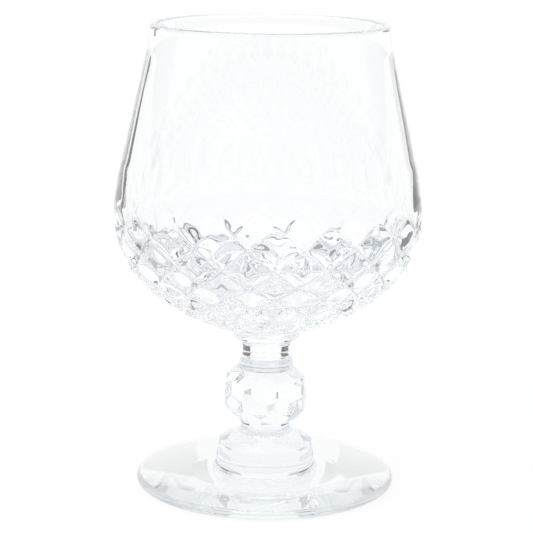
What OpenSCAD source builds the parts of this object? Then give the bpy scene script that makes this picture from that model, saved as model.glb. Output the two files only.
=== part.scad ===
// Brandy snifter of clear cut glass: a tapering bowl with a lattice of cut diamonds, a short ringed neck,
// a ball knop ground with flat facets, a small collar and a round foot with a raised boss.
// Millimetres, +Z up, origin at the middle of the ring that the foot stands on.

/* [Foot] */
// outer radius of the foot
foot_r = 36.5; // [34:0.5:40]
// thickness of the foot at its rounded edge
foot_edge = 2.7; // [2.2:0.1:3.4]
// height of the foot's upper face where it meets the boss
foot_rise = 4.6; // [4:0.1:5.4]
// radius of the shallow hollow under the foot
hollow_r = 21; // [16:0.5:26]
// depth of the hollow under the foot
hollow_depth = 1.2; // [0.6:0.1:2]
// radius of the boss where it meets the foot
boss_r = 14; // [13.4:0.1:15]
// radius of the boss at its upper edge
boss_edge_r = 13.2; // [12.4:0.1:13.4]
// extra radius where the boss runs out into the foot
boss_flare = 1.1; // [0.6:0.1:1.6]
// height of the boss's upper edge
boss_edge_h = 11.6; // [10.6:0.1:12.4]
// height of the seat on top of the boss
seat_h = 14.6; // [13.8:0.1:15.6]
// radius of the seat on top of the boss
seat_r = 8.3; // [8:0.1:9]
// radius of the domed face between the boss's edge and the seat
dome_round = 16; // [10:0.5:24]

/* [Collar under the knop] */
// height of the collar
collar_h = 3.7; // [3:0.1:4.5]
// radius of the collar on the boss
collar_base_r = 7.95; // [7.5:0.05:8]
// radius of the collar at its narrowest
collar_waist_r = 7.1; // [6.5:0.1:7.3]
// height of the narrowest level over the boss
collar_waist_h = 2.7; // [2.2:0.1:2.9]
// radius of the collar under the knop
collar_top_r = 7.4; // [7.3:0.05:7.8]

/* [Knop] */
// height of the knop
knop_h = 15; // [14:0.1:16]
// number of facets in each of the three rows
knop_facets = 8; // [6:1:10]
// distance from the axis to the facets of the middle row
knop_side = 11; // [10.6:0.1:11.6]
// distance from the middle of the knop to the facets of the two sloping rows
knop_shoulder = 10.9; // [10.8:0.1:11.3]
// slope of the upper and lower rows, degrees
knop_slope = 42; // [40:0.5:44]
// turn of the front facet from the front, degrees
knop_turn = -8; // [-22:1:22]

/* [Neck] */
// height of the neck
neck_h = 10.1; // [9:0.1:12]
// radius of the straight part of the neck
neck_r = 6.86; // [6.2:0.02:7.2]
// radius of the neck on the knop
neck_base_r = 7.8; // [7.4:0.05:7.9]
// height of the lower ring at the neck's base
low_ring_h = 1.9; // [1.5:0.1:2.2]
// height of the upper ring at the neck's base
high_ring_h = 1.6; // [1.3:0.1:1.9]
// radius of the flange under the bowl
flange_r = 9.3; // [8.8:0.05:9.8]
// thickness of the flange under the bowl
flange_h = 1.1; // [0.6:0.1:1.4]
// height of the hollow curve between neck and flange
flare_h = 2.5; // [2:0.1:3]

/* [Bowl] */
// height of the bowl over the neck
bowl_h = 86.6; // [80:0.2:92]
// outer radius at the widest level
belly_r = 42.9; // [41:0.1:45]
// height of the widest level over the neck
belly_h = 33.8; // [32:0.2:36]
// radius of the curve round the belly
belly_round = 27; // [25:0.2:29]
// radius of the gentle curve over the belly
shoulder_round = 99; // [85:1:115]
// lean of the wall where the gentle curve begins, degrees
shoulder_lean = 5.3; // [4:0.1:7]
// lean of the straight wall, degrees
wall_lean = 13.2; // [12:0.1:14]
// height of the underside over the neck, on the axis
under_h = 0.55; // [0.2:0.05:1]
// width of the hollow curve between flange and underside
stub_round = 1.6; // [1.2:0.1:2]
// height over which the wall straightens towards the lip
lip_h = 6.5; // [5:0.5:9]
// lean of the wall at the lip, degrees
lip_lean = 3; // [1:0.5:6]
// thickness of the glass at the lip
lip_glass = 1.8; // [1.4:0.1:2.2]
// thickness of the glass at the widest level
belly_glass = 2.6; // [2.4:0.1:3.2]
// how much higher the inside is at its widest than the outside
inside_lift = 0.5; // [0.2:0.1:1]
// radius of the curve round the inside of the belly
inside_round = 23.4; // [22.6:0.2:24]
// glass on the axis between the neck and the inside
floor_glass = 6.6; // [6:0.2:8]

/* [Cut diamonds] */
// number of diamonds round the bowl
diamonds = 18; // [14:1:22]
// height of the tips of the cuts over the neck
pattern_h = 44.2; // [42:0.2:46]
// number of half rows of diamonds
half_rows = 11; // [8:1:11]
// height of a half row, as a share of the radius there
row_share = 0.148; // [0.14:0.002:0.15]
// depth of the cuts where they cross, as a share of the radius there
groove_share = 0.045; // [0.036:0.001:0.05]
// rise of the cuts' slopes over the glass at the middle of a diamond, as a share of the radius
slope_share = 0.05; // [0.04:0.001:0.06]
// number of half rows over which the cuts reach their full depth
run_rows = 6; // [4:1:7]
// how far the cuts' bottoms leave the glass at both ends, as a share of the radius
leave_share = 0.005; // [0.004:0.001:0.01]
// turn of the lattice from the front, degrees
lattice_turn = 3; // [-10:1:10]

/* [Hidden] */
$fn = 96;
glass = [0.86, 0.93, 0.95, 0.55];
// direction that faces the viewer, degrees
front = 270;
// flats along a short curve and along a long one
short_steps = 8;
long_steps = 14;
// steps along each curve when the lattice is laid out
layout_steps = 60;
// how far the shell of cuts reaches past the glass
overrun = 2;

// levels of the stacked pieces
knop_z = seat_h + collar_h;
neck_z = knop_z + knop_h;
bowl_z = neck_z + neck_h;
bowl_top = bowl_z + bowl_h;

// direction at an angle, and points along an arc
function dir(a) = [cos(a), sin(a)];
function arc(mid, r, from, to, steps) = [for (i = [0 : steps]) mid + r * dir(from + (to - from) * i / steps)];

// points along a quarter of an oval that leaves a upright and reaches b level
function bend_level(a, b) = [for (i = [0 : short_steps]) let (t = 90 * i / short_steps)
    [a.x + (b.x - a.x) * (1 - cos(t)), a.y + (b.y - a.y) * sin(t)]];

// points along a quarter of an oval that leaves a level and reaches b upright
function bend_upright(a, b) = [for (i = [0 : short_steps]) let (t = 90 * i / short_steps)
    [a.x + (b.x - a.x) * sin(t), a.y + (b.y - a.y) * (1 - cos(t))]];

// points along the arc of a given radius that bulges outward between a and b
function dome(a, b, r) = let (half = (b - a) / 2, in = [-half.y, half.x] / norm(half),
    mid = a + half + in * sqrt(r ^ 2 - norm(half) ^ 2))
    arc(mid, r, atan2(a.y - mid.y, a.x - mid.x), atan2(b.y - mid.y, b.x - mid.x), short_steps);

// list turned round, and running total of a list
function reversed(v) = [for (i = [len(v) - 1 : -1 : 0]) v[i]];
function totals(v) = [for (i = 0, s = 0; i <= len(v); s = s + (i < len(v) ? v[i] : 0), i = i + 1) s];

// outside of the bowl, from the base up to the lip
belly_z = bowl_z + belly_h;
belly_mid = [belly_r - belly_round, belly_z];
under_z = bowl_z + under_h;
under_drop = belly_z - under_z;
under_round = (belly_mid.x ^ 2 + under_drop ^ 2 - belly_round ^ 2) / (2 * (under_drop - belly_round));
under_mid = [0, under_z + under_round];
under_meet = atan2(belly_mid.y - under_mid.y, belly_mid.x);
stub_angle = -acos((flange_r + stub_round) / under_round);
stub_end = under_mid + under_round * dir(stub_angle);
shoulder_start = belly_mid + belly_round * dir(shoulder_lean);
shoulder_mid = shoulder_start - shoulder_round * dir(shoulder_lean);
wall_start = shoulder_mid + shoulder_round * dir(wall_lean);
lip_half = lip_glass / 2;
wall_end_z = bowl_top - lip_h - lip_half * (1 - sin(lip_lean));
wall_end = [wall_start.x - (wall_end_z - wall_start.y) * tan(wall_lean), wall_end_z];
lip_curve = lip_h / (sin(wall_lean) - sin(lip_lean));
lip_mid = wall_end + lip_curve * dir(wall_lean);
lip_edge_mid = lip_mid - (lip_curve + lip_half) * dir(lip_lean);
outside = concat(
    bend_level([flange_r, bowl_z], stub_end),
    arc(under_mid, under_round, stub_angle, under_meet, short_steps),
    arc(belly_mid, belly_round, under_meet, shoulder_lean, long_steps),
    arc(shoulder_mid, shoulder_round, shoulder_lean, wall_lean, short_steps),
    arc(lip_mid, lip_curve, 180 + wall_lean, 180 + lip_lean, short_steps));
lip_edge = concat(
    arc(lip_edge_mid, lip_half, lip_lean, 90, short_steps),
    arc(lip_edge_mid, lip_half, 90, 180 + lip_lean, short_steps));

// inside of the bowl, from the floor up to the lip
inside_z = belly_z + inside_lift;
inside_mid = [belly_r - belly_glass - inside_round, inside_z];
floor_z = bowl_z + floor_glass;
floor_drop = inside_z - floor_z;
floor_round = (inside_mid.x ^ 2 + floor_drop ^ 2 - inside_round ^ 2) / (2 * (floor_drop - inside_round));
floor_mid = [0, floor_z + floor_round];
floor_meet = atan2(inside_mid.y - floor_mid.y, inside_mid.x);
inside_start = inside_mid + inside_round * dir(shoulder_lean);
inside_curve_mid = inside_start - shoulder_round * dir(shoulder_lean);
inside_far = wall_end - lip_glass * dir(wall_lean) - inside_curve_mid;
inside_lean = atan2(inside_far.y, inside_far.x) - acos(shoulder_round / norm(inside_far));
inside = concat(
    arc(floor_mid, floor_round, -90, floor_meet, short_steps),
    arc(inside_mid, inside_round, floor_meet, shoulder_lean, long_steps),
    arc(inside_curve_mid, shoulder_round, shoulder_lean, inside_lean, short_steps),
    arc(lip_mid, lip_curve + lip_glass, 180 + wall_lean, 180 + lip_lean, short_steps));

// way along the outside, counted in radii, so that the diamonds keep their shape as the bowl narrows
way_line = concat(
    arc(under_mid, under_round, stub_angle, under_meet, layout_steps),
    arc(belly_mid, belly_round, under_meet, shoulder_lean, layout_steps),
    arc(shoulder_mid, shoulder_round, shoulder_lean, wall_lean, layout_steps),
    [for (i = [1 : layout_steps]) wall_start + (wall_end - wall_start) * i / layout_steps]);
way = totals([for (i = [1 : len(way_line) - 1])
    2 * norm(way_line[i] - way_line[i - 1]) / (way_line[i].x + way_line[i - 1].x)]);
way_to_r = [for (i = [0 : len(way) - 1]) [way[i], way_line[i].x]];
way_to_z = [for (i = [0 : len(way) - 1]) [way[i], way_line[i].y]];
z_to_way = [for (p = way_to_z) [p[1], p[0]]];
way_top = lookup(bowl_z + pattern_h, z_to_way);
function on_way(w) = [lookup(w, way_to_r), lookup(w, way_to_z)];
function outward(w) = let (d = on_way(w + row_share / 2) - on_way(w - row_share / 2)) [d.y, -d.x] / norm(d);

// rings of the lattice: bottoms of cuts take turns with tops of slopes, and the end rings clear the glass
columns = 2 * diamonds;
function turned(c, r, z) = let (a = front + lattice_turn + c * 360 / columns) [r * cos(a), r * sin(a), z];
function is_bottom(row, c) = row >= 0 && row <= half_rows && (row + c) % 2 == 1;
function lift_share(row, c) = !is_bottom(row, c) ? slope_share
    : leave_share - (leave_share + groove_share) * min(1, row / run_rows, half_rows - row);
function ring(row) = let (w = way_top - row * row_share, p = on_way(w), n = outward(w))
    [for (c = [0 : columns - 1]) let (q = p + p.x * lift_share(row, c) * n) turned(c, q.x, q.y)];
function end_ring(row, z) = let (p = ring(row)[0])
    [for (c = [0 : columns - 1]) turned(c, norm([p.x, p.y]), z)];
rings = concat(
    [end_ring(-1, bowl_top + overrun)],
    [for (row = [-1 : half_rows + 1]) ring(row)],
    [end_ring(half_rows + 1, bowl_z - overrun)]);

// shell of slopes: each quarter of a diamond is one flat, and the bottoms of the cuts run under the glass
module cut_lattice() {
    last = len(rings) - 1;
    at = function(k, c) k * columns + c % columns;
    flats = [for (k = [0 : last - 1], c = [0 : columns - 1])
        let (a = at(k, c), b = at(k, c + 1), d = at(k + 1, c), e = at(k + 1, c + 1))
            each (k + c) % 2 == 1 ? [[a, b, e], [a, e, d]] : [[a, b, d], [b, e, d]]];
    top = [for (c = [columns - 1 : -1 : 0]) at(0, c)];
    bottom = [for (c = [0 : columns - 1]) at(last, c)];
    polyhedron(points = [for (r = rings) each r], faces = concat(flats, [top, bottom]));
}

// bowl: the blown shape with the diamonds cut into its belly
module bowl() {
    color(glass)
    intersection() {
        rotate_extrude()
            polygon(concat([[0, bowl_z]], outside, lip_edge, reversed(inside)));
        cut_lattice();
    }
}

// neck with two rings at its base and a flange under the bowl
module neck() {
    flange_z = bowl_z - flange_h;
    ring_r = (neck_base_r + neck_r) / 2;
    low_z = neck_z + low_ring_h;
    high_z = low_z + high_ring_h;
    color(glass)
    rotate_extrude()
        polygon(concat(
            [[0, neck_z]],
            bend_level([neck_base_r, neck_z], [ring_r, low_z]),
            bend_level([ring_r, low_z], [neck_r, high_z]),
            bend_level([neck_r, flange_z - flare_h], [flange_r, flange_z]),
            [[flange_r, bowl_z], [0, bowl_z]]));
}

// one flat that the wheel leaves: takes away all that lies beyond a distance in a direction
module facet_cut(distance, slope, size) {
    rotate([0, -slope, 0])
    translate([distance, -size, -size])
        cube(2 * size);
}

// ball ground with three rows of flat facets
module knop() {
    step = 360 / knop_facets;
    size = 2 * knop_side;
    color(glass)
    translate([0, 0, knop_z + knop_h / 2])
    difference() {
        cylinder(r = size, h = knop_h, center = true);
        for (i = [0 : knop_facets - 1]) {
            rotate([0, 0, front + knop_turn + i * step])
                facet_cut(knop_side, 0, size);
            for (slope = [-knop_slope, knop_slope])
                rotate([0, 0, front + knop_turn + (i + 1 / 2) * step])
                    facet_cut(knop_shoulder, slope, size);
        }
    }
}

// waisted collar between knop and boss
module lower_collar() {
    color(glass)
    rotate_extrude()
        polygon(concat(
            [[0, seat_h]],
            bend_upright([collar_base_r, seat_h], [collar_waist_r, seat_h + collar_waist_h]),
            [[collar_top_r, knop_z], [0, knop_z]]));
}

// round foot: hollow underside, rounded edge, gentle slope, boss with a domed top
module foot() {
    edge_half = foot_edge / 2;
    edge_mid = [foot_r - edge_half, edge_half];
    hollow_curve = (hollow_r ^ 2 + hollow_depth ^ 2) / (2 * hollow_depth);
    hollow_turn = asin(hollow_r / hollow_curve);
    boss_base = [boss_r + boss_flare, foot_rise];
    slope_turn = atan2(foot_edge - foot_rise, edge_mid.x - boss_base.x);
    color(glass)
    rotate_extrude()
        polygon(concat(
            arc([0, hollow_depth - hollow_curve], hollow_curve, 90, 90 - hollow_turn, short_steps),
            arc(edge_mid, edge_half, -90, 90 + slope_turn, long_steps),
            bend_upright(boss_base, [boss_r, foot_rise + 2 * boss_flare]),
            dome([boss_edge_r, boss_edge_h], [seat_r, seat_h], dome_round),
            [[0, seat_h]]));
}

foot();
lower_collar();
knop();
neck();
bowl();
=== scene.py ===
import math

import bmesh
import bpy
import numpy as np
from mathutils import Matrix, Vector


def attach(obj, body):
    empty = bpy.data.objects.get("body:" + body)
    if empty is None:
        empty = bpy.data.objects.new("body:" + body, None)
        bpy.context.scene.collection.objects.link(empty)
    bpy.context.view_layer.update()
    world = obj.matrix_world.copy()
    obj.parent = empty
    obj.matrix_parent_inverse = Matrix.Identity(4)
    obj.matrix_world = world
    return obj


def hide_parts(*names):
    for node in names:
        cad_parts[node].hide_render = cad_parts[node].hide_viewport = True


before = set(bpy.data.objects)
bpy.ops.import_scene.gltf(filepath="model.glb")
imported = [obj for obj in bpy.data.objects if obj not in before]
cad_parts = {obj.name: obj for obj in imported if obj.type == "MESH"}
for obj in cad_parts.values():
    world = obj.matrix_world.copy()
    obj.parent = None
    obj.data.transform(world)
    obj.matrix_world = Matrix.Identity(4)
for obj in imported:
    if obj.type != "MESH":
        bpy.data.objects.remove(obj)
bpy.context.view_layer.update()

# Sizes of the pieces in millimetres and degrees, the same as in the part's source

MM = 0.001
FRONT = 270.0

FOOT = dict(
    r=36.5, edge=2.7, rise=4.6, hollow_r=21.0, hollow_depth=1.2,
    boss_r=14.0, boss_flare=1.1, boss_edge=11.6, boss_edge_r=13.2, seat=14.6, seat_r=8.3, dome=16.0,
)
COLLAR = dict(h=3.7, base_r=7.95, waist_r=7.1, waist_h=2.7, top_r=7.4)
KNOP = dict(h=15.0, facets=8, side=11.0, shoulder=10.9, slope=42.0, turn=-8.0)
NECK = dict(h=10.1, r=6.86, base_r=7.8, low=1.9, high=1.6, flange_r=9.3, flange_h=1.1, flare_h=2.5)
BOWL = dict(
    h=86.6, belly_r=42.9, belly_h=33.8, belly=27.0, under=0.55, stub=1.6,
    shoulder=99.0, shoulder_lean=5.3, wall_lean=13.2, lip_h=6.5, lip_lean=3.0, lip=1.8,
    glass=2.6, lift=0.5, inside=23.4, floor=6.6,
)

KNOP_Z = FOOT["seat"] + COLLAR["h"]
NECK_Z = KNOP_Z + KNOP["h"]
BOWL_Z = NECK_Z + NECK["h"]
BELLY_Z = BOWL_Z + BOWL["belly_h"]
BOWL_TOP = BOWL_Z + BOWL["h"]

# Cuts, laid out as in the part's source but deeper low down; row, groove and leave are shares of the radius

CUTS = dict(count=18, top=44.2, rows=11, row=0.148, groove=0.050, leave=0.005, turn=3.0, run=6)

# Powers that shape the cuts: deepening along the run, slopes, rounded bottoms, crossings, crowding of quads

RUN_POWER = 1.25
SLOPE_POWER = 3
BOTTOM_POWER = 9
CROSS_POWER = 3.0
CROWD_POWER = 1.5

# How far fused pieces reach into each other, so that light passes, and the softness on the knop's edges

FUSE = 0.04
KNOP_EDGE = 0.09
KNOP_EDGE_FLATS = 2

# Flats along the curves and round the pieces, quads across a diamond, and angles from which edges stay sharp

FLATS = dict(
    hollow=20, edge=28, bend=12, dome=16, flare=16, stub=10, layout=400, lip=12, lip_edge=20,
    clear_wall=40, wall=24, inside=40, floor=30, under=12,
)
COLUMNS = dict(foot=288, stem=192)
CELL = 20
HALF_CELL = CELL // 2
SHARP = dict(turned=24, knop=4, bowl=45)

# Smallest step along an outline, and the margins when the knop's corners and facets are worked out

LEAST_STEP = 0.002
EXACT = 1e-6
SAME_PLACE = 1e-4
SAME_FACET = 1


def rad(a):
    return math.radians(a)


def aim(a):
    return np.array([math.cos(rad(a)), math.sin(rad(a))])


def arc(mid, r, start, end, steps):
    return [np.array(mid) + r * aim(start + (end - start) * i / steps) for i in range(steps + 1)]


def bend_level(a, b, steps):
    """Quarter of an oval that leaves a upright and reaches b level."""
    a, b = np.array(a), np.array(b)
    turns = [math.pi / 2 * i / steps for i in range(steps + 1)]
    return [a + (b - a) * (1 - math.cos(t), math.sin(t)) for t in turns]


def bend_upright(a, b, steps):
    """Quarter of an oval that leaves a level and reaches b upright."""
    a, b = np.array(a), np.array(b)
    turns = [math.pi / 2 * i / steps for i in range(steps + 1)]
    return [a + (b - a) * (math.sin(t), 1 - math.cos(t)) for t in turns]


def dome(a, b, r, steps):
    """Arc of a given radius that bulges outward between a and b."""
    a, b = np.array(a), np.array(b)
    half = (b - a) / 2
    size = np.linalg.norm(half)
    mid = a + half + np.array([-half[1], half[0]]) / size * math.sqrt(r * r - size * size)
    start, end = (math.degrees(math.atan2(p[1] - mid[1], p[0] - mid[0])) for p in (a, b))
    return arc(mid, r, start, end, steps)


def without_repeats(outline):
    """Drops points that fall on the one before."""
    kept = [outline[0]]
    for p in outline[1:]:
        if np.linalg.norm(p - kept[-1]) > LEAST_STEP:
            kept.append(p)
    return kept


# Meshes of the pieces

def put(name, mesh):
    """Adds an object with this mesh to the scene."""
    made = bpy.data.objects.new(name, mesh)
    bpy.context.scene.collection.objects.link(made)
    return made


def put_piece(name, mesh, sharp):
    """Adds a closed piece, with its faces turned outward and smooth up to the sharp angle."""
    bm = bmesh.new()
    bm.from_mesh(mesh)
    bmesh.ops.recalc_face_normals(bm, faces=bm.faces)
    if bm.calc_volume(signed=True) < 0:
        bmesh.ops.reverse_faces(bm, faces=bm.faces)
    bm.to_mesh(mesh)
    bm.free()
    mesh.shade_smooth()
    mesh.set_sharp_from_angle(angle=rad(sharp))
    return put(name, mesh)


class Skin:
    """Collects points and faces of one closed piece of glass, in millimetres."""

    def __init__(self):
        self.points, self.faces = [], []

    def point(self, x, y, z):
        self.points.append((x * MM, y * MM, z * MM))
        return len(self.points) - 1

    def ring(self, r, z, turns):
        return [self.point(r * math.cos(a), r * math.sin(a), z) for a in turns]

    def band(self, low, high):
        n = len(low)
        for i in range(n):
            k = (i + 1) % n
            self.faces.append((low[i], low[k], high[k], high[i]))

    def cap(self, ring, z):
        tip = self.point(0, 0, z)
        n = len(ring)
        for i in range(n):
            self.faces.append((ring[i], ring[(i + 1) % n], tip))

    def rings(self, outline, turns, start=None):
        """Bands along an outline of (radius, height); the ring to start from may be given."""
        last = start
        made = []
        for r, z in outline:
            here = self.ring(r, z, turns)
            if last is not None:
                self.band(last, here)
            last = here
            made.append(here)
        return made

    def build(self, name, sharp):
        mesh = bpy.data.meshes.new(name)
        mesh.from_pydata(self.points, [], self.faces)
        return put_piece(name, mesh, sharp)


def turned(name, outline, columns):
    """A piece turned from an outline whose two ends lie on the axis."""
    skin = Skin()
    turns = [2 * math.pi * i / columns for i in range(columns)]
    outline = without_repeats(outline)
    rings = skin.rings(outline[1:-1], turns)
    skin.cap(rings[0], outline[0][1])
    skin.cap(rings[-1], outline[-1][1])
    return skin.build(name, SHARP["turned"])


# Foot, collar and neck

def make_foot():
    f = FOOT
    half = f["edge"] / 2
    edge_mid = np.array([f["r"] - half, half])
    curve = (f["hollow_r"] ** 2 + f["hollow_depth"] ** 2) / (2 * f["hollow_depth"])
    hollow_turn = math.degrees(math.asin(f["hollow_r"] / curve))
    base = (f["boss_r"] + f["boss_flare"], f["rise"])
    fall = math.degrees(math.atan2(f["edge"] - f["rise"], edge_mid[0] - base[0]))
    side = (f["boss_r"], f["rise"] + 2 * f["boss_flare"])
    boss_edge = (f["boss_edge_r"], f["boss_edge"])
    outline = arc((0, f["hollow_depth"] - curve), curve, 90, 90 - hollow_turn, FLATS["hollow"])
    outline += arc(edge_mid, half, -90, 90 + fall, FLATS["edge"])
    outline += bend_upright(base, side, FLATS["bend"])
    outline += dome(boss_edge, (f["seat_r"], f["seat"]), f["dome"], FLATS["dome"])
    outline += [np.array([0, f["seat"]])]
    return turned("foot_glass", outline, COLUMNS["foot"])


def make_collar():
    c = COLLAR
    low, high = FOOT["seat"], KNOP_Z
    waist = (c["waist_r"], low + c["waist_h"])
    outline = [np.array([0, low - FUSE]), np.array([c["base_r"], low - FUSE])]
    outline += bend_upright((c["base_r"], low), waist, FLATS["bend"])
    outline += [np.array([c["top_r"], high]), np.array([c["top_r"], high + FUSE])]
    outline += [np.array([0, high + FUSE])]
    return turned("collar_glass", outline, COLUMNS["stem"])


def make_neck():
    n = NECK
    ring_r = (n["base_r"] + n["r"]) / 2
    low = NECK_Z + n["low"]
    high = low + n["high"]
    flange = BOWL_Z - n["flange_h"]
    plug_r = n["flange_r"] - FUSE
    outline = [np.array([0, NECK_Z - FUSE]), np.array([n["base_r"], NECK_Z - FUSE])]
    outline += bend_level((n["base_r"], NECK_Z), (ring_r, low), FLATS["bend"])
    outline += bend_level((ring_r, low), (n["r"], high), FLATS["bend"])
    outline += bend_level((n["r"], flange - n["flare_h"]), (n["flange_r"], flange), FLATS["flare"])
    outline += [np.array([n["flange_r"], BOWL_Z]), np.array([plug_r, BOWL_Z])]
    outline += [np.array([plug_r, BOWL_Z + FUSE]), np.array([0, BOWL_Z + FUSE])]
    return turned("neck_glass", outline, COLUMNS["stem"])


# Knop: the ball that is ground with flat facets, with a hair of softness along each edge

def knop_facets():
    """Direction of each facet, and its distance from the middle of the knop."""
    k = KNOP
    facets = [((0, 0, 1), k["h"] / 2), ((0, 0, -1), k["h"] / 2)]
    for i in range(k["facets"]):
        a = rad(FRONT + k["turn"] + i * 360 / k["facets"])
        facets.append(((math.cos(a), math.sin(a), 0), k["side"]))
        a += math.pi / k["facets"]
        for s in (rad(k["slope"]), -rad(k["slope"])):
            slanted = (math.cos(a) * math.cos(s), math.sin(a) * math.cos(s), math.sin(s))
            facets.append((slanted, k["shoulder"]))
    return np.array([f[0] for f in facets]), np.array([f[1] for f in facets])


def knop_corners():
    """Points where three facets meet and no other facet cuts the glass away."""
    normals, reach = knop_facets()
    corners = []
    for i in range(len(reach)):
        for j in range(i):
            for m in range(j):
                trio = normals[[i, j, m]]
                if abs(np.linalg.det(trio)) < EXACT:
                    continue
                p = np.linalg.solve(trio, reach[[i, j, m]])
                inside = np.all(normals @ p <= reach + EXACT)
                if inside and all(np.linalg.norm(p - q) > SAME_PLACE for q in corners):
                    corners.append(p)
    return corners


def make_knop():
    bm = bmesh.new()
    for x, y, z in knop_corners():
        bm.verts.new((x * MM, y * MM, (z + KNOP_Z + KNOP["h"] / 2) * MM))
    bmesh.ops.convex_hull(bm, input=bm.verts)
    bmesh.ops.dissolve_limit(bm, angle_limit=rad(SAME_FACET), verts=bm.verts, edges=bm.edges)
    bmesh.ops.bevel(
        bm, geom=list(bm.edges), offset=KNOP_EDGE * MM, offset_type="OFFSET",
        segments=KNOP_EDGE_FLATS, profile=0.5, affect="EDGES", clamp_overlap=True,
    )
    mesh = bpy.data.meshes.new("knop_glass")
    bm.to_mesh(mesh)
    bm.free()
    return put_piece("knop_glass", mesh, SHARP["knop"])


# Bowl: outside, lip and inside, the same curves as in the part's source

def bowl_outside():
    """Stub on the neck, and the line from there up the belly and the wall."""
    b = BOWL
    belly_mid = np.array([b["belly_r"] - b["belly"], BELLY_Z])
    under_z = BOWL_Z + b["under"]
    drop = BELLY_Z - under_z
    under = (belly_mid[0] ** 2 + drop ** 2 - b["belly"] ** 2) / (2 * (drop - b["belly"]))
    under_mid = np.array([0, under_z + under])
    meet = math.degrees(math.atan2(belly_mid[1] - under_mid[1], belly_mid[0]))
    stub_turn = -math.degrees(math.acos((NECK["flange_r"] + b["stub"]) / under))
    shoulder_mid = belly_mid + (b["belly"] - b["shoulder"]) * aim(b["shoulder_lean"])
    wall_start = shoulder_mid + b["shoulder"] * aim(b["wall_lean"])
    wall_end_z = BOWL_TOP - b["lip_h"] - b["lip"] / 2 * (1 - math.sin(rad(b["lip_lean"])))
    inward = (wall_end_z - wall_start[1]) * math.tan(rad(b["wall_lean"]))
    wall_end = np.array([wall_start[0] - inward, wall_end_z])
    n = FLATS["layout"]
    line = arc(under_mid, under, stub_turn, meet, n)
    line += arc(belly_mid, b["belly"], meet, b["shoulder_lean"], n)
    line += arc(shoulder_mid, b["shoulder"], b["shoulder_lean"], b["wall_lean"], n)
    line += [wall_start + (wall_end - wall_start) * i / n for i in range(1, n + 1)]
    stub = bend_level((NECK["flange_r"], BOWL_Z), line[0], FLATS["stub"])
    return stub, without_repeats(line)


def bowl_lip(wall_end):
    """Over the lip, from the end of the wall outside to the end of the wall inside."""
    b = BOWL
    half = b["lip"] / 2
    curve = b["lip_h"] / (math.sin(rad(b["wall_lean"])) - math.sin(rad(b["lip_lean"])))
    mid = wall_end + curve * aim(b["wall_lean"])
    edge_mid = mid - (curve + half) * aim(b["lip_lean"])
    wall_turn, lip_turn = 180 + b["wall_lean"], 180 + b["lip_lean"]
    lip = arc(mid, curve, wall_turn, lip_turn, FLATS["lip"])
    lip += arc(edge_mid, half, b["lip_lean"], lip_turn, FLATS["lip_edge"])
    lip += arc(mid, curve + b["lip"], lip_turn, wall_turn, FLATS["lip"])
    return lip


def bowl_inside(wall_end):
    """Down the inside, from the end of the wall to the floor on the axis."""
    b = BOWL
    inside_z = BELLY_Z + b["lift"]
    inside_mid = np.array([b["belly_r"] - b["glass"] - b["inside"], inside_z])
    floor_z = BOWL_Z + b["floor"]
    drop = inside_z - floor_z
    floor = (inside_mid[0] ** 2 + drop ** 2 - b["inside"] ** 2) / (2 * (drop - b["inside"]))
    floor_mid = np.array([0, floor_z + floor])
    floor_meet = math.degrees(math.atan2(inside_mid[1] - floor_mid[1], inside_mid[0]))
    curve_mid = inside_mid + (b["inside"] - b["shoulder"]) * aim(b["shoulder_lean"])
    wall_top = wall_end - b["lip"] * aim(b["wall_lean"])
    far = wall_top - curve_mid
    lean = math.degrees(math.atan2(far[1], far[0]) - math.acos(b["shoulder"] / np.linalg.norm(far)))
    n = FLATS["wall"]
    shoulder = arc(curve_mid, b["shoulder"], lean, b["shoulder_lean"], n)
    inside = [wall_top + (shoulder[0] - wall_top) * i / n for i in range(1, n)] + shoulder
    inside += arc(inside_mid, b["inside"], b["shoulder_lean"], floor_meet, FLATS["inside"])
    inside += arc(floor_mid, floor, floor_meet, -90, FLATS["floor"])
    return inside


class Way:
    """Line up the outside of the bowl, with places counted in radii so that diamonds keep their shape."""

    def __init__(self, line):
        self.line = np.array(line)
        lengths = np.linalg.norm(np.diff(self.line, axis=0), axis=1)
        widths = self.line[1:, 0] + self.line[:-1, 0]
        self.places = np.concatenate([[0], np.cumsum(2 * lengths / widths)])
        slopes = np.gradient(self.line, self.places, axis=0)
        self.slopes = slopes / np.linalg.norm(slopes, axis=1)[:, None]

    def at_height(self, z):
        return np.interp(z, self.line[:, 1], self.places)

    def point(self, place):
        return np.array([np.interp(place, self.places, self.line[:, i]) for i in (0, 1)])

    def outward(self, place):
        slope = np.array([np.interp(place, self.places, self.slopes[:, i]) for i in (0, 1)])
        return np.array([slope[1], -slope[0]]) / np.linalg.norm(slope)


# Cut diamonds, numbered along the two directions of the cuts that lie between them

def cut_depth(row):
    """Depth of a cut's bottom at a row, as a share of the radius; the cuts run out at both ends."""
    c = CUTS
    row = min(max(row, 0), c["rows"])
    share = min(1.0, (row / c["run"]) ** RUN_POWER, c["rows"] - row)
    return max(0.0, (c["leave"] + c["groove"]) * share - c["leave"])


def cut_share(across):
    """Share of the depth, from 0 in the middle of a diamond to 1 at the rounded bottom of the cut."""
    slope, bottom = SLOPE_POWER, BOTTOM_POWER
    return (bottom * across ** slope - slope * across ** bottom) / (bottom - slope)


def spread(k):
    """Place of line k across a diamond, with the lines closer together beside the cuts."""
    return math.copysign(0.5 * (1 - (1 - abs(k / HALF_CELL)) ** CROWD_POWER), k)


def lattice_turn(column):
    return rad(FRONT + CUTS["turn"] + column * 180 / CUTS["count"])


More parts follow.
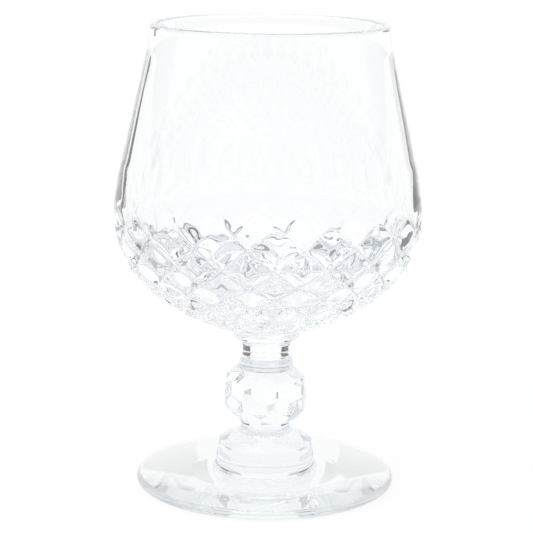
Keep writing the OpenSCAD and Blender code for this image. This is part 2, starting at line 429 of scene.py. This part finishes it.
class Lattice:
    """Cut diamonds on the skin of the bowl, with places counted in quads along the two directions."""

    def __init__(self, skin, way):
        self.skin, self.way = skin, way
        self.top = way.at_height(BOWL_Z + CUTS["top"])
        self.low = self.top - CUTS["rows"] * CUTS["row"]
        self.made = {}
        for row in range(CUTS["rows"] + 1):
            for p, q in self.diamonds(row):
                self.add_diamond(row, p, q)

    def diamonds(self, row):
        return [((col + row) // 2, (col - row) // 2) for col in range(row % 2, 2 * CUTS["count"], 2)]

    def point(self, a, b):
        """Point of the skin at a place, made when first asked for; once round is the same place again."""
        lap = CUTS["count"] * CELL * ((a + b) // (2 * CUTS["count"] * CELL))
        place = (a - lap, b - lap)
        if place not in self.made:
            self.made[place] = self.make_point(a, b)
        return self.made[place]

    def make_point(self, a, b):
        p, q = (a + HALF_CELL) // CELL, (b + HALF_CELL) // CELL
        u, v = spread(a - p * CELL), spread(b - q * CELL)
        row, column = p + u - q - v, p + u + q + v
        cut_rows = (p + math.copysign(0.5, u) - q - v, p + u - q - math.copysign(0.5, v))
        depths = [cut_depth(r) * cut_share(2 * abs(w)) for r, w in zip(cut_rows, (u, v))]
        depth = sum(d ** CROSS_POWER for d in depths) ** (1 / CROSS_POWER)
        place = self.top - row * CUTS["row"]
        blown = self.way.point(place)
        r, z = blown - blown[0] * depth * self.way.outward(place)
        turn = lattice_turn(column)
        return self.skin.point(r * math.cos(turn), r * math.sin(turn), z)

    def add_diamond(self, row, p, q):
        """Quads of one diamond. Those of the first and the last row are halves with a straight edge."""
        for i in range(-HALF_CELL, HALF_CELL):
            for k in range(-HALF_CELL, HALF_CELL):
                corners = [(i, k), (i + 1, k), (i + 1, k + 1), (i, k + 1)]
                if row == 0:
                    corners = [c for c in corners if c[0] >= c[1]]
                if row == CUTS["rows"]:
                    corners = [c for c in corners if c[0] <= c[1]]
                if len(corners) > 2:
                    face = [self.point(p * CELL + c[0], q * CELL + c[1]) for c in corners]
                    self.skin.faces.append(face)

    def edge(self, row):
        """Points along the straight edge of the first or last row, and even turns that start with them."""
        ring = []
        for p, q in self.diamonds(row):
            ring += [self.point(p * CELL + i, q * CELL + i) for i in range(-HALF_CELL, HALF_CELL)]
        start = lattice_turn(row % 2 - 1)
        return ring, [start + 2 * math.pi * i / len(ring) for i in range(len(ring))]


def make_bowl():
    stub, line = bowl_outside()
    skin = Skin()
    way = Way(line)
    lattice = Lattice(skin, way)
    ring, turns = lattice.edge(0)
    rise = np.linspace(lattice.top, way.places[-1], FLATS["clear_wall"])[1:]
    outline = [way.point(place) for place in rise] + bowl_lip(line[-1]) + bowl_inside(line[-1])
    outline = without_repeats(outline)[:-1]
    skin.cap(skin.rings(outline, turns, ring)[-1], BOWL_Z + BOWL["floor"])
    ring, turns = lattice.edge(CUTS["rows"])
    fall = np.linspace(lattice.low, 0, FLATS["under"])[1:]
    outline = without_repeats([way.point(place) for place in fall] + stub[::-1])
    skin.cap(skin.rings(outline, turns, ring)[-1], BOWL_Z)
    return skin.build("bowl_glass", SHARP["bowl"])


# Material nodes

def new_material(name):
    material = bpy.data.materials.new(name)
    material.use_nodes = True
    return material, material.node_tree


def add_node(tree, kind, values):
    """New node with these values on its sockets."""
    made = tree.nodes.new(kind)
    for socket, value in values.items():
        made.inputs[socket].default_value = value
    return made


def add_math(tree, operation, *values):
    """Output of a math node. A value is a number or another node's output."""
    made = tree.nodes.new("ShaderNodeMath")
    made.operation = operation
    for socket, value in zip(made.inputs, values):
        if isinstance(value, bpy.types.NodeSocket):
            tree.links.new(value, socket)
        else:
            socket.default_value = value
    return made.outputs[0]


def mix_surface(tree, share, first, second):
    """Gives the material the first shader, and for the share the second."""
    mix = tree.nodes.new("ShaderNodeMixShader")
    tree.links.new(share, mix.inputs["Fac"])
    tree.links.new(first, mix.inputs[1])
    tree.links.new(second, mix.inputs[2])
    tree.links.new(mix.outputs["Shader"], tree.nodes["Material Output"].inputs["Surface"])


# Clear crystal with the faint waves and polish marks of blown and ground glass, greyer where it is thick

GLASS_INDEX = 1.53
WAVE_DETAIL = 1.5
MARK_SCALE = 220
MARK_DETAIL = 3
MARK_RANGE = (0.35, 0.75)
DEPTH_TONE = (0.84, 0.87, 0.885)


def glass(name, tint, waves, wave_height, polish, depth_tint):
    material, tree = new_material(name)
    shader = tree.nodes["Principled BSDF"]
    shader.inputs["Base Color"].default_value = (*tint, 1)
    shader.inputs["IOR"].default_value = GLASS_INDEX
    shader.inputs["Transmission Weight"].default_value = 1
    place = tree.nodes.new("ShaderNodeTexCoord")
    wave = add_node(tree, "ShaderNodeTexNoise", {"Scale": waves, "Detail": WAVE_DETAIL})
    bump = add_node(tree, "ShaderNodeBump", {"Strength": 1, "Distance": wave_height})
    tree.links.new(place.outputs["Object"], wave.inputs["Vector"])
    tree.links.new(wave.outputs["Fac"], bump.inputs["Height"])
    tree.links.new(bump.outputs["Normal"], shader.inputs["Normal"])
    mark = add_node(tree, "ShaderNodeTexNoise", {"Scale": MARK_SCALE, "Detail": MARK_DETAIL})
    span = add_node(tree, "ShaderNodeMapRange", {"To Min": 0, "To Max": polish})
    span.inputs["From Min"].default_value = MARK_RANGE[0]
    span.inputs["From Max"].default_value = MARK_RANGE[1]
    tree.links.new(place.outputs["Object"], mark.inputs["Vector"])
    tree.links.new(mark.outputs["Fac"], span.inputs["Value"])
    tree.links.new(span.outputs["Result"], shader.inputs["Roughness"])
    depth = add_node(tree, "ShaderNodeVolumeAbsorption", {"Color": (*DEPTH_TONE, 1), "Density": depth_tint})
    tree.links.new(depth.outputs["Volume"], tree.nodes["Material Output"].inputs["Volume"])
    return material


bowl_glass = glass(
    "bowl_crystal", tint=(0.995, 0.998, 1.0), waves=60, wave_height=0.000008, polish=0.012, depth_tint=5,
)
stem_glass = glass(
    "stem_crystal", tint=(0.992, 0.997, 1.0), waves=120, wave_height=0.00001, polish=0.015, depth_tint=5,
)
foot_glass = glass(
    "foot_crystal", tint=(0.990, 0.996, 1.0), waves=70, wave_height=0.00002, polish=0.015, depth_tint=10,
)

for piece, node, material, slot in (
    (make_foot(), "foot", foot_glass, "foot_glass"),
    (make_collar(), "lower_collar", stem_glass, "stem_glass"),
    (make_knop(), "knop", stem_glass, "stem_glass"),
    (make_neck(), "neck", stem_glass, "stem_glass"),
    (make_bowl(), "bowl", bowl_glass, "bowl_glass"),
):
    piece.data.materials.append(material)
    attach(piece, "root")
    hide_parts(node)


# Studio, in metres: soft white light all round, and a pale floor that runs out of sight

BOUNCES = 64
FLOOR_R = 2.1
FLOOR_SEGMENTS = 96
FLOOR_DROP = 0.00005
PAPER_TONE = 0.95
PAPER_ROUGHNESS = 0.9
PAPER_WHITE = 0.92
LAMP = dict(size=0.7, power=3, at=(-0.35, -0.25, 1.1), towards=(0, 0, 0.05))


def make_world():
    world = bpy.data.worlds.new("studio")
    world.use_nodes = True
    light = world.node_tree.nodes["Background"]
    light.inputs["Color"].default_value = (1, 1, 1, 1)
    light.inputs["Strength"].default_value = 1.0
    bpy.context.scene.world = world


def white_paper():
    """Pale paper, nearly white to the camera and through or off the glass, that takes the shadow."""
    material, tree = new_material("white_paper")
    shader = tree.nodes["Principled BSDF"]
    shader.inputs["Base Color"].default_value = (PAPER_TONE, PAPER_TONE, PAPER_TONE, 1)
    shader.inputs["Roughness"].default_value = PAPER_ROUGHNESS
    shader.inputs["Specular IOR Level"].default_value = 0
    white = add_node(tree, "ShaderNodeEmission", {"Strength": 1.0})
    path = tree.nodes.new("ShaderNodeLightPath")
    seen = add_math(tree, "MAXIMUM", path.outputs["Is Camera Ray"], path.outputs["Is Glossy Ray"])
    seen = add_math(tree, "MAXIMUM", seen, path.outputs["Is Transmission Ray"])
    share = add_math(tree, "MULTIPLY", seen, PAPER_WHITE)
    mix_surface(tree, share, shader.outputs["BSDF"], white.outputs["Emission"])
    return material


def make_floor():
    bm = bmesh.new()
    bmesh.ops.create_circle(bm, cap_ends=True, segments=FLOOR_SEGMENTS, radius=FLOOR_R)
    bmesh.ops.translate(bm, verts=bm.verts, vec=(0, 0, -FLOOR_DROP))
    mesh = bpy.data.meshes.new("floor")
    bm.to_mesh(mesh)
    bm.free()
    mesh.materials.append(white_paper())
    put("floor", mesh)


def make_lamp():
    lamp = bpy.data.lights.new("softbox", "AREA")
    lamp.shape = "DISK"
    lamp.size = LAMP["size"]
    lamp.energy = LAMP["power"]
    softbox = bpy.data.objects.new("softbox", lamp)
    softbox.location = LAMP["at"]
    softbox.rotation_mode = "QUATERNION"
    way = Vector(LAMP["towards"]) - softbox.location
    softbox.rotation_quaternion = way.to_track_quat("-Z", "Y")
    bpy.context.scene.collection.objects.link(softbox)


# Grey cards of painted shade that draw the edges of the glass, each glowing at one tone for light that has
# passed few or many surfaces of glass

SOLID = (0.5, 3.5)
HOLLOW = (3.5, BOUNCES + 0.5)
CARD_FLATS = 12
CARD_FLAT_TURN = 4

# Heights of cards that lie on the floor, and outlines of the bent cards as (distance, height)

CARD_LOW, CARD_MID, CARD_HIGH = 0.0008, 0.001, 0.0012

FLAT = ((0.10, CARD_MID), (0.20, CARD_MID))
STEM = ((0.045, 0.0125), (0.045, 0.0355))
SHORT = ((0.040, CARD_LOW), (0.053, CARD_LOW))
REST = ((0.40, CARD_MID), (1.30, CARD_MID))
ROUND = ((1.65, 0.14), (1.65, 1.2))
LINE = ((1.65, 0.09), (1.65, 0.14))
FAR = ((1.0, 0.14), (1.0, 0.80))
SIDE = ((0.30, CARD_MID), (0.30, 0.045))
UNDER = ((0.05, CARD_MID), (0.165, CARD_MID))
RIM = ((0.165, CARD_MID), (0.185, CARD_MID))
INNER = ((0.105, CARD_HIGH), (0.115, CARD_HIGH))
INMOST = ((0.072, CARD_HIGH), (0.080, CARD_HIGH))

# Corners of the flat cards, to the right of the axis and away from the viewer

LEFT_GREY = ((-0.36, 0.36), (-0.07, 0.36), (-0.07, 1.30), (-0.46, 1.30), (-0.42, 0.60))
LEFT_EDGE = (
    (-0.55, 0.45), (-0.41, 0.45), (-0.51, 0.70), (-0.58, 0.90), (-1.20, 2.05),
    (-1.75, 2.90), (-2.50, 3.40), (-1.31, 1.88), (-0.86, 1.06), (-0.66, 0.68),
)
RIGHT_EDGE = (
    (0.22, 0.41), (0.42, 0.45), (0.51, 0.66), (0.52, 0.80), (0.52, 0.95),
    (0.60, 1.26), (0.12, 1.06), (0.08, 0.72), (0.11, 0.54),
)


def painted_shade_material(name, tone, surfaces, reflections=0):
    """Card that glows at one tone as painted shade, for light that has passed so many surfaces and had at
    least so many reflections.
    """
    material, tree = new_material(name)
    tree.nodes.remove(tree.nodes["Principled BSDF"])
    glow = add_node(tree, "ShaderNodeEmission", {"Color": (*tone, 1)})
    clear = tree.nodes.new("ShaderNodeBsdfTransparent")
    path = tree.nodes.new("ShaderNodeLightPath")
    mean = (surfaces[0] + surfaces[1]) / 2
    margin = (surfaces[1] - surfaces[0]) / 2
    passed = add_math(tree, "COMPARE", path.outputs["Transmission Depth"], mean, margin)
    turned_back = add_math(tree, "GREATER_THAN", path.outputs["Glossy Depth"], reflections - 0.5)
    seen = add_math(tree, "MULTIPLY", passed, turned_back)
    mix_surface(tree, seen, clear.outputs["BSDF"], glow.outputs["Emission"])
    return material


def put_painted_shade(name, points, faces, tone):
    """Adds a card of painted shade that the camera, the diffuse light and the shadows don't see."""
    mesh = bpy.data.meshes.new(name)
    mesh.from_pydata(points, [], faces)
    mesh.materials.append(tone)
    made = put(name, mesh)
    made.visible_camera = False
    made.visible_diffuse = False
    made.visible_shadow = False


def bent_painted_shade(name, start, end, outline, tone):
    """Card bent round the glass along an outline, between two angles from straight behind."""
    count = max(CARD_FLATS, round(abs(end - start) / CARD_FLAT_TURN))
    turns = [rad(start + (end - start) * i / count) for i in range(count + 1)]
    points = [(r * math.sin(a), r * math.cos(a), z) for r, z in outline for a in turns]
    faces = [(i, i + 1, i + count + 2, i + count + 1) for i in range(count)]
    put_painted_shade(name, points, faces, tone)


def flat_painted_shade(name, corners, tone):
    points = [(x, y, CARD_MID) for x, y in corners]
    put_painted_shade(name, points, [list(range(len(corners)))], tone)


def make_painted_shade_sheets():
    # Tones of painted shade that only the glass shows, from near black to pale grey, each a fixed glow
    dark = painted_shade_material("dark_painted_shade", (0.10, 0.10, 0.11), HOLLOW)
    edge = painted_shade_material("edge_painted_shade", (0.03, 0.03, 0.04), SOLID, reflections=1)
    middle = painted_shade_material("grey_painted_shade", (0.20, 0.20, 0.21), SOLID, reflections=1)
    rest = painted_shade_material("rest_painted_shade", (0.36, 0.37, 0.39), SOLID, reflections=1)
    soft = painted_shade_material("soft_painted_shade", (0.62, 0.65, 0.69), SOLID)
    shade = painted_shade_material("deep_painted_shade", (0.16, 0.16, 0.17), SOLID)
    pale = painted_shade_material("pale_painted_shade", (0.72, 0.76, 0.82), HOLLOW)
    low = painted_shade_material("low_painted_shade", (0.80, 0.83, 0.88), HOLLOW)
    line = painted_shade_material("line_painted_shade", (0.28, 0.30, 0.33), HOLLOW)
    for name, start, end, outline, tone in (
        # Painted shade and light in the lattice: dark spots, pale light and a thin line
        ("painted_shade_left_floor", -51, -26, FLAT, dark),
        ("painted_shade_right_floor", 28, 62, FLAT, dark),
        ("painted_shade_round", -180, 180, ROUND, pale),
        ("painted_shade_line", -180, 180, LINE, line),
        # Painted shade: greys in the solid stem and foot
        ("painted_shade_left_far", -80, -22, FAR, soft),
        ("painted_shade_right_far", 22, 80, FAR, soft),
        ("painted_shade_left_stem", -51, -24, STEM, shade),
        ("painted_shade_right_stem", 26, 62, STEM, shade),
        ("painted_shade_left_short", -62, -26, SHORT, shade),
        ("painted_shade_right_short", 26, 62, SHORT, shade),
        # Painted shade: lines of the wall from the other sides
        ("painted_shade_rest", 58, 302, REST, rest),
        # Painted shade: greys at both sides of the stem and the foot
        ("painted_shade_left_side", -85, -52, SIDE, shade),
        ("painted_shade_right_side", 52, 85, SIDE, shade),
        # Painted shade and light: pale light and thin lines low in the lattice
        ("painted_shade_under", -180, 180, UNDER, low),
        ("painted_shade_rim", -180, 180, RIM, line),
        ("painted_shade_inner", -180, 180, INNER, line),
        ("painted_shade_inmost", -180, 180, INMOST, line),
    ):
        bent_painted_shade(name, start, end, outline, tone)
    # Painted shade: lines of the wall from the front
    flat_painted_shade("painted_shade_left_grey", LEFT_GREY, middle)
    flat_painted_shade("painted_shade_left_edge", LEFT_EDGE, edge)
    flat_painted_shade("painted_shade_right_edge", RIGHT_EDGE, edge)


make_world()
make_floor()
make_painted_shade_sheets()
make_lamp()

# Camera at the photograph's place: 12 degrees down, and turned a hair round its own axis

CAMERA_AT = (-0.00022, -0.5122, 0.1725)
PITCH, ROLL = rad(12.16), rad(0.72)
PHOTO_PIXELS = 533
FOCAL_PIXELS = 1870.4
SENSOR = 36
NEAREST, FARTHEST = 0.01, 20


def make_camera():
    right = Vector((1, 0, 0))
    up = Vector((0, math.sin(PITCH), math.cos(PITCH)))
    back = Vector((0, -math.cos(PITCH), math.sin(PITCH)))
    side = right * math.cos(ROLL) + up * math.sin(ROLL)
    top = up * math.cos(ROLL) - right * math.sin(ROLL)
    lens = bpy.data.cameras.new("camera")
    lens.sensor_width = SENSOR
    lens.lens = FOCAL_PIXELS / PHOTO_PIXELS * SENSOR
    lens.clip_start, lens.clip_end = NEAREST, FARTHEST
    camera = bpy.data.objects.new("camera", lens)
    turn = Matrix((side, top, back)).transposed().to_4x4()
    camera.matrix_world = Matrix.Translation(CAMERA_AT) @ turn
    bpy.context.scene.collection.objects.link(camera)
    bpy.context.scene.camera = camera


make_camera()

scene = bpy.context.scene
scene.view_settings.view_transform = "Standard"
scene.cycles.max_bounces = BOUNCES
scene.cycles.transmission_bounces = BOUNCES
scene.cycles.glossy_bounces = BOUNCES
